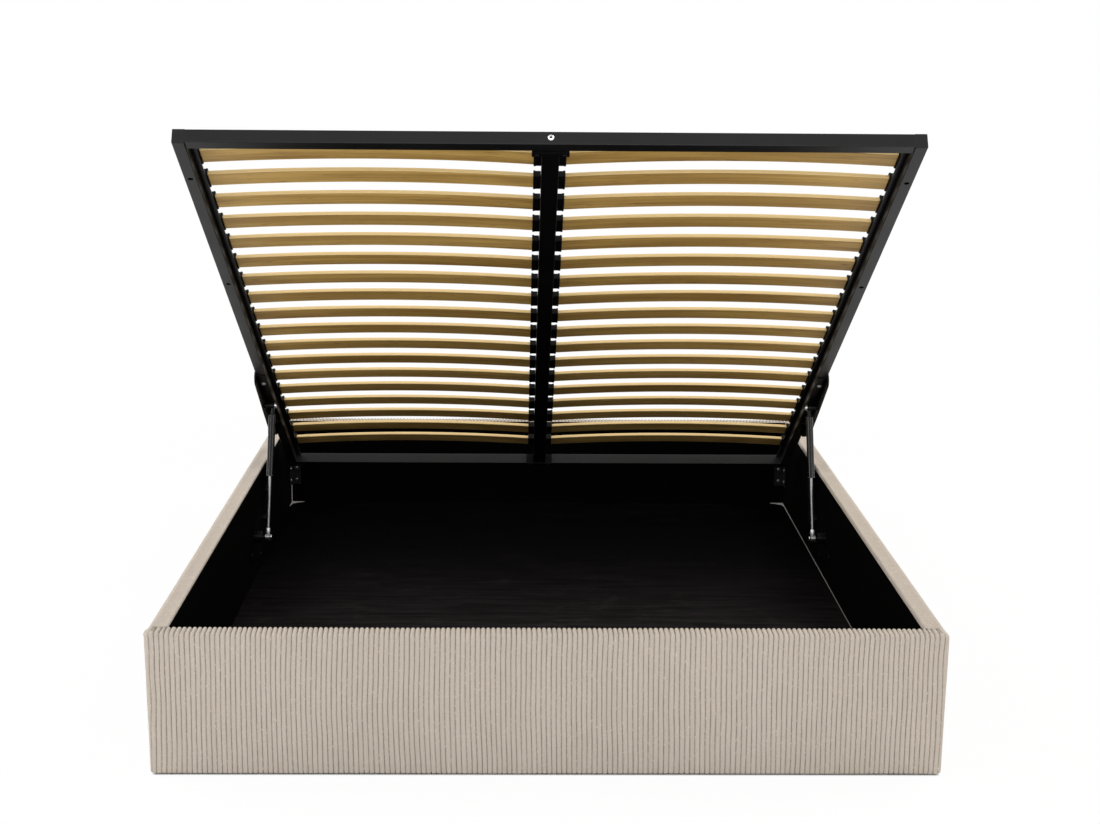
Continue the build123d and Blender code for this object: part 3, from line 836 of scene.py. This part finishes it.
# Slatted platform: x across, u from the head end to the foot end, w out of its plane

PLATFORM_HEAD = Vector((0, 781.647, 239.234)) * MM
PLATFORM_TILT = radians(31.175)
SLAT_ROWS = 18
FIRST_SLAT_U = 174.4 * MM
SLAT_PITCH = 103.2 * MM
SLAT_WIDTH = 53.0 * MM
SLAT_THICKNESS = 8.0 * MM
SLAT_CROWN = 11.0 * MM
SLAT_ROUNDING = 1.8 * MM
SLAT_LOW_X = 24.9 * MM
SLAT_HIGH_X = 702.8 * MM
SLAT_STATIONS = 33
ROUNDING_STEPS = 4
EDGE_START = 0.9
PLANK_SEED = 7

# Slat holders
RAIL_INNER_X = 709.6 * MM
BEAM_HALF_WIDTH = 17.5 * MM
RAIL_HOLDER_DEPTH = 14.8 * MM
BEAM_HOLDER_DEPTH = 15.4 * MM
HOLDER_LOW_W = -2.5 * MM
HOLDER_HIGH_W = 13.25 * MM
HOLDER_HALF_LENGTH = 29.5 * MM
HOLDER_STEP = 0.9 * MM
HOLDER_LIP = 4.2 * MM
BACK_ROUNDING = 1.6 * MM
BODY_ROUNDING = 2.4 * MM
RIM_ROUNDING = 2.8 * MM
SOFT_RIM_ROUNDING = 2.2 * MM
HOLDER_CORNER_STEPS = 3
POCKET_DEPTH = 7.5 * MM
POCKET_SIDE_PLAY = 0.4 * MM
POCKET_TOP_PLAY = 1.1 * MM
POCKET_LOW_W = -0.3 * MM
POCKET_ROUNDING = 1.2 * MM


def on_platform(x, u, w):
    along = Vector((0, -cos(PLATFORM_TILT), sin(PLATFORM_TILT)))
    out = Vector((0, sin(PLATFORM_TILT), cos(PLATFORM_TILT)))
    return PLATFORM_HEAD + Vector((x, 0, 0)) + along * u + out * w


def bowed_line(tree):
    """The slat's middle line, straight in plan and raised by its crown in the middle."""
    values = {"End": tree.vector(X=tree.given("Length"))}
    line = tree.add("GeometryNodeCurvePrimitiveLine", {}, values)
    values = {"Curve": line, "Count": SLAT_STATIONS}
    line = tree.add("GeometryNodeResampleCurve", {}, values)
    share = tree.add("GeometryNodeSplineParameter", {}, {}, "Factor")
    across = tree.math("SUBTRACT", tree.math("MULTIPLY", share, 2.0), 1.0)
    bow = tree.math("SUBTRACT", 1.0, tree.math("MULTIPLY", across, across))
    rise = tree.math("MULTIPLY", bow, tree.given("Crown"))
    middle = tree.math("MULTIPLY", tree.given("Thickness"), 0.5)
    values = {"Geometry": line, "Offset": tree.vector(Z=tree.math("ADD", rise, middle))}
    line = tree.add("GeometryNodeSetPosition", {}, values)
    return tree.add("GeometryNodeSetCurveNormal", {"mode": "Z_UP"}, {"Curve": line})


def ply_section(tree):
    """The slat's rounded section, marked with its height through the plies and its edges."""
    values = {"Width": tree.given("Width"), "Height": tree.given("Thickness")}
    settings = {"mode": "RECTANGLE"}
    section = tree.add("GeometryNodeCurvePrimitiveQuadrilateral", settings, values)
    values = {"Curve": section, "Radius": tree.given("Rounding"), "Count": ROUNDING_STEPS}
    section = tree.add("GeometryNodeFilletCurve", {"mode": "POLY"}, values)
    place = tree.add("GeometryNodeInputPosition")
    sideways = tree.add("ShaderNodeSeparateXYZ", {}, {0: place})
    height = sideways.node.outputs[1]
    level = tree.math("ADD", tree.math("DIVIDE", height, tree.given("Thickness")), 0.5)
    section = tree.store(section, "ply", level)
    half = tree.math("MULTIPLY", tree.given("Width"), 0.5)
    rounding = tree.math("MULTIPLY", tree.given("Rounding"), EDGE_START)
    flat = tree.math("SUBTRACT", half, rounding)
    edge = tree.math("GREATER_THAN", tree.math("ABSOLUTE", sideways), flat)
    return tree.store(section, "edge", edge)


def slat_recipe():
    """Bowed ply slats: a rounded section swept along a bow, one at each point."""
    labels = ("Length", "Width", "Thickness", "Crown", "Rounding", "Tilt")
    sizes = {label: "Float" for label in labels}
    tree = Recipe("sprung_slats", **sizes, Seed="Int", Material="Material")
    sweep = {"Curve": bowed_line(tree), "Profile Curve": ply_section(tree), "Fill Caps": True}
    slat = tree.add("GeometryNodeCurveToMesh", {}, sweep)
    settings, values = {"data_type": "FLOAT"}, {"Seed": tree.given("Seed")}
    plank = tree.add("FunctionNodeRandomValue", settings, values, 1)
    points = tree.store(tree.given("Places"), "plank", plank)
    lean = tree.math("MULTIPLY", tree.given("Tilt"), -1.0)
    turn = tree.rotation(tree.vector(X=lean))
    values = {"Points": points, "Instance": slat, "Rotation": turn}
    tree.close(tree.add("GeometryNodeInstanceOnPoints", {}, values))
    return tree


def slat_middles():
    return [FIRST_SLAT_U + i * SLAT_PITCH - SLAT_WIDTH / 2 for i in range(SLAT_ROWS)]


def add_slats(material):
    starts = (SLAT_LOW_X, -SLAT_HIGH_X)
    places = [on_platform(x, u, 0) for u in slat_middles() for x in starts]
    sizes = {
        "Length": SLAT_HIGH_X - SLAT_LOW_X,
        "Width": SLAT_WIDTH,
        "Thickness": SLAT_THICKNESS,
        "Crown": SLAT_CROWN,
        "Rounding": SLAT_ROUNDING,
        "Tilt": PLATFORM_TILT,
    }
    carrier = carrier_of("slat_places", places)
    tree = slat_recipe()
    slats = tree.make("sprung_slats", carrier, **sizes, Seed=PLANK_SEED, Material=material)
    even_normals(slats)
    names = ["slat_row_%02d" % (i + 1) for i in range(SLAT_ROWS)]
    finish_piece(slats, "platform", "slat_wood", *names)


def rounded_loop(half, low, high, radius):
    """Rounded rectangle across Y and Z, anticlockwise seen from +X."""
    corners = ((half, high, 0), (-half, high, 90), (-half, low, 180), (half, low, 270))
    points = []
    for y, z, start in corners:
        centre_y = y - radius if y > 0 else y + radius
        centre_z = z - radius if z == high else z + radius
        for i in range(HOLDER_CORNER_STEPS + 1):
            angle = radians(start + 90 * i / HOLDER_CORNER_STEPS)
            points.append((centre_y + radius * cos(angle), centre_z + radius * sin(angle)))
    return points


def holder_loop(steps_in, radius):
    """Outline of the holder, drawn in by a number of steps."""
    inset = steps_in * HOLDER_STEP
    low, high = HOLDER_LOW_W + inset / 2, HOLDER_HIGH_W - inset
    return rounded_loop(HOLDER_HALF_LENGTH - inset, low, high, radius)


def swept_shell(name, stations):
    """Closed mesh through loops of equal length, each at its own x, closed at both ends."""
    vertices = [(x, y, z) for x, loop in stations for y, z in loop]
    count = len(stations[0][1])
    last = (len(stations) - 1) * count
    faces = [face for start in range(0, last, count) for face in loop_faces(start, count)]
    faces += [tuple(reversed(range(count))), tuple(range(last, last + count))]
    mesh = bpy.data.meshes.new(name)
    mesh.from_pydata(vertices, [], faces)
    return outward(bpy.data.objects.new(name, mesh))


def holder_part():
    """One plastic slat holder: body, thicker lip round its mouth, and the pocket."""
    depth, step = RAIL_HOLDER_DEPTH, HOLDER_STEP
    back, body = holder_loop(2, BACK_ROUNDING), holder_loop(1, BODY_ROUNDING)
    rim, soft_rim = holder_loop(0, RIM_ROUNDING), holder_loop(1, SOFT_RIM_ROUNDING)
    pocket_half = SLAT_WIDTH / 2 + POCKET_SIDE_PLAY
    pocket_high = SLAT_THICKNESS + POCKET_TOP_PLAY
    mouth = rounded_loop(pocket_half, POCKET_LOW_W, pocket_high, POCKET_ROUNDING)
    lip = depth - HOLDER_LIP
    stations = [(0, back), (step, body), (lip, body), (lip + step / 3, rim)]
    stations += [(depth - step, rim), (depth, soft_rim), (depth, mouth)]
    stations += [(depth - POCKET_DEPTH, mouth)]
    return swept_shell("holder_part", stations)


def add_holders(tree, material):
    part = holder_part()
    places, turns, stretches = [], [], []
    straight, about = (-PLATFORM_TILT, 0, 0), (PLATFORM_TILT, 0, pi)
    plain, wide = (1, 1, 1), (BEAM_HOLDER_DEPTH / RAIL_HOLDER_DEPTH, 1, 1)
    seats = (
        (RAIL_INNER_X, about, plain),
        (-RAIL_INNER_X, straight, plain),
        (BEAM_HALF_WIDTH, straight, wide),
        (-BEAM_HALF_WIDTH, about, wide),
    )
    for u in slat_middles():
        for x, turn, stretch in seats:
            places.append(on_platform(x, u, 0))
            turns.append(turn)
            stretches.append(stretch)
    carrier = carrier_of("holder_places", places, turn=turns, stretch=stretches)
    holders = tree.make("slat_end_holders", carrier, Part=part, Material=material)
    bpy.data.objects.remove(part)
    even_normals(holders)
    finish_piece(holders, "platform", "black_plastic", "slat_holders")


# Struts: rings on the pressure tube and the sleeve on the rod's end

STRUT_AXIS = Vector((0.03128235, 0.20931679, 0.97734738))
TUBE_RADIUS = 9.3 * MM
RING_INSIDE = 0.6 * MM
RING_OUTSIDE = 0.7 * MM
RING_BEVEL = 0.3 * MM
RING_SEGMENTS = 40

# In millimetres: the rings' spans from the tube's mouth, and the sleeve's radius and height
RING_SPANS = ((-0.8, 1.4), (12.0, 13.6))
SLEEVE_START = 18.5
SLEEVE_LOOP = ((5.2, 0), (5.9, 0), (6.2, 0.6), (6.2, 13.0), (5.8, 14.2), (5.2, 14.2))


def ring_of(loop):
    """Solid of revolution round Z of a closed loop of radius and height."""
    vertices, faces = [], []
    count = len(loop)
    for i in range(RING_SEGMENTS):
        angle = 2 * pi * i / RING_SEGMENTS
        vertices += [(radius * cos(angle), radius * sin(angle), height) for radius, height in loop]
    for i in range(RING_SEGMENTS):
        here, there = i * count, (i + 1) % RING_SEGMENTS * count
        for j in range(count):
            k = (j + 1) % count
            faces.append((here + j, there + j, there + k, here + k))
    return vertices, faces


def ring_loop(low, high):
    """Section of a ring round the tube, rounded to a ridge outside."""
    inner, outer = TUBE_RADIUS - RING_INSIDE, TUBE_RADIUS + RING_OUTSIDE
    shy, middle = outer - RING_BEVEL, (low + high) / 2
    return [(inner, low), (shy, low), (outer, middle), (shy, high), (inner, high)]


def low_end(node, axis):
    """How far along an axis a node begins."""
    return min((vertex.co for vertex in nodes[node].data.vertices), key=axis.dot).dot(axis)


def box_middle(node):
    low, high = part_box(node)
    return (low + high) / 2


def on_axis(piece, point, axis):
    turn = axis.to_track_quat("Z", "Y").to_matrix().to_4x4()
    piece.data.transform(Matrix.Translation(point) @ turn)
    return outward(piece)


def add_strut_trim(ring_steel, sleeve_steel):
    for side, sign in (("left", 1), ("right", -1)):
        axis = Vector((STRUT_AXIS.x * sign, STRUT_AXIS.y, STRUT_AXIS.z))
        tube = box_middle("strut_cylinder_" + side)
        mouth = low_end("strut_cylinder_" + side, axis)
        foot = low_end("strut_rod_" + side, axis) + SLEEVE_START * MM
        vertices, faces = [], []
        for low, high in RING_SPANS:
            more, more_faces = ring_of(ring_loop(low * MM, high * MM))
            start = len(vertices)
            faces += [tuple(index + start for index in face) for face in more_faces]
            vertices += more
        rings = new_piece("strut_rings_" + side, vertices, faces, ring_steel)
        on_axis(rings, tube + axis * (mouth - tube.dot(axis)), axis)
        finish_piece(rings, side + "_strut_cylinder", "zinc_steel")
        loop = [(radius * MM, height * MM) for radius, height in SLEEVE_LOOP]
        sleeve = new_piece("rod_end_sleeve_" + side, *ring_of(loop), sleeve_steel)
        on_axis(sleeve, tube + axis * (foot - tube.dot(axis)), axis)
        finish_piece(sleeve, side + "_strut_rod", "zinc_steel")


# Lining laps, and pale strips that show inside the compartment

FLOOR_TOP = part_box("floor_board_rear")[1].z
FLOOR_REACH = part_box("floor_board_rear")[1].x
FLOOR_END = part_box("floor_board_rear")[1].y
BRACKET_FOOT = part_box("corner_brackets")[0].z
LAP_ANGLE = 42
LOW_LAP_ANGLE = 6
LAP_STEPS = 4
LAP_DROP = 18 * MM
LAP_OUTER = 0.9 * MM
LAP_INNER = 0.3 * MM
WALL_PLAY = 0.6 * MM
FLAP_HEIGHT = 1.2 * MM
EDGE_HEIGHT = 0.8 * MM
CORNER_EDGE = 2 * MM
BRACKET_PLAY = 3 * MM
FLAP_LENGTH = 58 * MM

# In millimetres, in from the wall and in from the end
FLAP_OUTLINE = ((0, 0), (39, 1), (24, 9), (7, 22), (0, 58))
EDGE_WIDTHS = (2.4 * MM, 1.6 * MM, 1.2 * MM)


def prism(name, outline, low, high, material):
    count = len(outline)
    vertices = [(x, y, z) for z in (low, high) for x, y in outline]
    faces = [tuple(reversed(range(count))), tuple(range(count, 2 * count))]
    faces += loop_faces(0, count)
    return outward(new_piece(name, vertices, faces, material, smooth=False))


def lap_loop(angle):
    """Section of the lining's lapped edge, in depth from the cover's outer face and height."""
    outside = [row[:2] for row in arc(INNER_CENTRE, INNER_RADIUS + LAP_OUTER, angle, 0, LAP_STEPS)]
    inside = [row[:2] for row in arc(INNER_CENTRE, INNER_RADIUS + LAP_INNER, 0, angle, LAP_STEPS)]
    foot = COVER_TOP - LAP_DROP
    ends = [(PANEL_THICKNESS + reach, foot) for reach in (LAP_OUTER, LAP_INNER)]
    return outside + ends + inside


def add_lining_laps(material):
    """The black lining ends in a lap over the inner edge of each cover."""
    high, low = lap_loop(LAP_ANGLE), lap_loop(LOW_LAP_ANGLE)
    count = len(high)
    inner_x, side_ends = BOX_HALF_WIDTH - PANEL_THICKNESS, (-SIDE_HALF_LENGTH, SIDE_HALF_LENGTH)
    vertices, faces = [], []
    for sign, loop in ((-1, high), (1, low)):
        vertices += [(sign * (BOX_HALF_WIDTH - d), y, z) for y in side_ends for d, z in loop]
        vertices += [(x, sign * (HEAD_FACE - d), z) for x in (-inner_x, inner_x) for d, z in high]
    for start in range(0, len(vertices), 2 * count):
        faces += loop_faces(start, count)
        faces.append(tuple(range(start, start + count)))
        faces.append(tuple(range(start + count, start + 2 * count)))
    laps = outward(new_piece("lining_laps", vertices, faces, material, smooth=False))
    finish_piece(laps, "base", "panel_board")


def add_pale_strips(material):
    """Pale flaps at the floor's rear corners, an edge up the left one, a strip on the right."""
    wall, end = FLOOR_REACH - WALL_PLAY, FLOOR_END - WALL_PLAY
    outline = [(wall - across * MM, end - back * MM) for across, back in FLAP_OUTLINE]
    pieces = []
    for side, sign in (("left", -1), ("right", 1)):
        corner = [(sign * x, y) for x, y in outline]
        name, top = "floor_corner_" + side, FLOOR_TOP + FLAP_HEIGHT
        pieces.append(prism(name, corner, FLOOR_TOP, top, material))
    corner = [(-wall, end), (CORNER_EDGE - wall, end), (-wall, end - CORNER_EDGE)]
    top = BRACKET_FOOT - BRACKET_PLAY
    pieces.append(prism("back_corner_edge", corner, FLOOR_TOP, top, material))
    rear, middle, front = EDGE_WIDTHS
    strip = [(wall, -end), (wall, end - FLAP_LENGTH), (wall - rear, end - FLAP_LENGTH)]
    strip += [(wall - middle, 0), (wall - front, -end)]
    top = FLOOR_TOP + EDGE_HEIGHT
    pieces.append(prism("floor_edge_right", strip, FLOOR_TOP, top, material))
    for piece in pieces:
        finish_piece(piece, "base", "raw_board")


# Studio

FLOOR_RADII = (2.0, 4.0, 8.0, 16.0, 40.0)
FLOOR_SECTORS = 48
AIR_STRENGTH = 0.36

# The studio floor shows the shadow close to the object and turns white further out
NEAR_WHITE = 0.95
FADE_START, FADE_LENGTH = 1.6, 1.6
SHADOW_X, SHADOW_Y = 0.793, 1.05
SHADOW_FADE_X, SHADOW_FADE_Y = 0.006, 0.005

# Name, place, aim, size, power and colour of each lamp
LAMPS = (
    ("key_softbox", (0.0, -4.6, 2.9), (0, -0.8, 0.35), (3.4, 2.0), 85, (1, 1, 1)),
    ("right_softbox", (3.0, 0.6, 3.2), (0.7, 0, 0.3), (1.6, 2.6), 115, (1, 0.97, 0.93)),
    ("left_softbox", (-3.4, 0.2, 3.0), (-0.7, 0, 0.3), (1.6, 2.6), 112, (1, 1, 1)),
    ("left_panel", (-3.4, -3.4, 1.3), (-0.5, 0.2, 0.4), (0.5, 1.8), 42, (1, 1, 1)),
    ("right_panel", (3.4, -3.4, 1.3), (0.5, 0.2, 0.4), (0.5, 1.8), 33, (1, 1, 1)),
)


def studio_paint():
    """White that melts into the background, except in the shadow under the object."""
    shade = Shade("studio_floor", Roughness=0.9, Base_Color=(0.8, 0.8, 0.8, 1))
    kinds = ("Is Camera Ray", "Is Glossy Ray", "Is Transmission Ray")
    eye, gloss, glass = (shade.add("LightPath", {}, {}, kind) for kind in kinds)
    place = shade.place()
    away = shade.add("VectorMath", {"operation": "LENGTH"}, {0: place}, "Value")
    far = ((away - FADE_START) / FADE_LENGTH).clamp()
    x, y, _ = shade.parts(place)
    beside = ((x.abs() - SHADOW_X) / SHADOW_FADE_X).clamp()
    beyond = ((y.abs() - SHADOW_Y) / SHADOW_FADE_Y).clamp()
    white = far * (1 - NEAR_WHITE) + NEAR_WHITE
    share = (eye + gloss + glass).clamp() * white * (beside + beyond).clamp()
    glow = shade.add("Emission", {}, {"Color": (1, 1, 1, 1), "Strength": 1.0})
    body = Wire(shade, shade.surface.outputs[0])
    both = shade.add("MixShader", {}, {0: share, 1: body, 2: glow})
    output = shade.tree.nodes["Material Output"]
    shade.tree.links.new(both.socket, output.inputs["Surface"])
    return shade.material


def add_floor():
    """Round studio floor, in rings about the object."""
    vertices, faces = [(0, 0, 0)], []
    for radius in FLOOR_RADII:
        for i in range(FLOOR_SECTORS):
            angle = 2 * pi * i / FLOOR_SECTORS
            vertices.append((radius * cos(angle), radius * sin(angle), 0))
    for i in range(FLOOR_SECTORS):
        faces.append((0, 1 + i, 1 + (i + 1) % FLOOR_SECTORS))
    for ring in range(len(FLOOR_RADII) - 1):
        for a, b, outer_b, outer_a in loop_faces(1 + ring * FLOOR_SECTORS, FLOOR_SECTORS):
            faces.append((a, outer_a, outer_b, b))
    new_piece("studio_floor", vertices, faces, studio_paint())


def add_world():
    """Even studio air for the light, plain white for the eye and for reflections."""
    world = bpy.data.worlds.new("studio_air")
    bpy.context.scene.world = world
    world.use_nodes = True
    tree = world.node_tree
    air, white = tree.nodes["Background"], tree.nodes.new("ShaderNodeBackground")
    for background, strength in ((air, AIR_STRENGTH), (white, 1.0)):
        background.inputs["Color"].default_value = (1, 1, 1, 1)
        background.inputs["Strength"].default_value = strength
    path = tree.nodes.new("ShaderNodeLightPath")
    seen = path.outputs["Is Camera Ray"]
    for label in ("Is Glossy Ray", "Is Transmission Ray"):
        larger = tree.nodes.new("ShaderNodeMath")
        larger.operation = "MAXIMUM"
        tree.links.new(seen, larger.inputs[0])
        tree.links.new(path.outputs[label], larger.inputs[1])
        seen = larger.outputs[0]
    mix = tree.nodes.new("ShaderNodeMixShader")
    for socket, source in enumerate((seen, air.outputs[0], white.outputs[0])):
        tree.links.new(source, mix.inputs[socket])
    tree.links.new(mix.outputs[0], tree.nodes["World Output"].inputs["Surface"])


def add_lamp(name, place, aim, size, power, colour):
    data = bpy.data.lights.new(name, "AREA")
    data.shape = "RECTANGLE"
    data.size, data.size_y = size
    data.energy = power
    data.color = colour
    lamp = bpy.data.objects.new(name, data)
    lamp.location = place
    lamp.rotation_euler = (Vector(aim) - Vector(place)).to_track_quat("-Z", "Y").to_euler()
    bpy.context.scene.collection.objects.link(lamp)


# Making of the whole scene


def pair(*names):
    return [name + side for name in names for side in ("_left", "_right")]


def paint_nodes(lining, plastic):
    """Finish of every solid that the scene keeps."""
    frame_paint = powder_coat("frame_powder_coat", 7, 0.33, 0.16, 0.27)
    # Painted shade: the beam, the lift links and the base plates get darker copies of the frame's
    # black paint
    beam_shaded_paint = powder_coat("beam_powder_coat_painted_shade", 4, 0.42, 0.25, 0.06)
    link_shaded_paint = powder_coat("link_powder_coat_painted_shade", 4, 0.4, 0.25, 0.1)
    plate_shaded_paint = powder_coat("plate_powder_coat_painted_shade", 2, 0.5, 0.25, 0.03)
    cap_plastic = moulded_plastic("end_cap_plastic", 8, 14, 0.25)
    rod_steel = plated_steel("rod_chrome", 150, 132, 0.24, (900, 900, 8))
    # The corner brackets' zinc is dull and made darker still as painted shade of the back corners
    shaded_dark_steel = plated_steel("dull_zinc_painted_shade", 58, 34, 0.3)
    bolts = part_plated("bolt_plating", 222, bolt_brightness)
    screws = part_plated("base_screw_plating", 150, screw_brightness)
    base_pins = part_plated("base_pin_plating", 222, pin_brightness("strut_rod_right"))
    top_pins = part_plated("top_pin_plating", 222, pin_brightness("strut_upper_end_right"))
    paint(["foot_board", "head_board"] + pair("side_board"), lining)
    paint(["floor_board_front", "floor_board_rear"], black_floor_board())
    paint(["floor_ledgers", "centre_bearer"], raw_board())
    paint(["bearer_legs", "panel_glides"], plastic)
    paint(["rail_end_caps"], cap_plastic)
    paint(["base_screws"], screws)
    paint(["platform_bolts"], bolts)
    paint(["corner_brackets"], shaded_dark_steel)
    paint(["lift_base_pins"], base_pins)
    paint(pair("strut_rod"), rod_steel)
    paint(pair("strut_upper_end"), top_pins)
    paint(pair("strut_cylinder"), strut_enamel())
    paint(pair("side_rail") + ["head_rail", "foot_rail"], frame_paint)
    paint(["centre_beam", "beam_tie_plates"], beam_shaded_paint)
    paint(pair("lift_arm", "front_link", "rear_link") + ["arm_link_pins"], link_shaded_paint)
    paint(pair("lift_base_plate"), plate_shaded_paint)


def main():
    bpy.context.scene.view_settings.view_transform = "Standard"
    add_camera()
    lining = black_lining()
    plastic = moulded_plastic("black_polypropylene", 2, 6, 0.12)
    paint_nodes(lining, plastic)
    add_covers(corduroy())
    add_slats(birch())
    add_holders(repeat_recipe(), plastic)
    ring_steel = plated_steel("ring_chrome", 74, 52, 0.06)
    add_strut_trim(ring_steel, plated_steel("sleeve_zinc", 232, 206, 0.34))
    add_lining_laps(lining)
    add_pale_strips(pale_edging())
    add_floor()
    add_world()
    for lamp in LAMPS:
        add_lamp(*lamp)
    bpy.context.view_layer.update()


main()
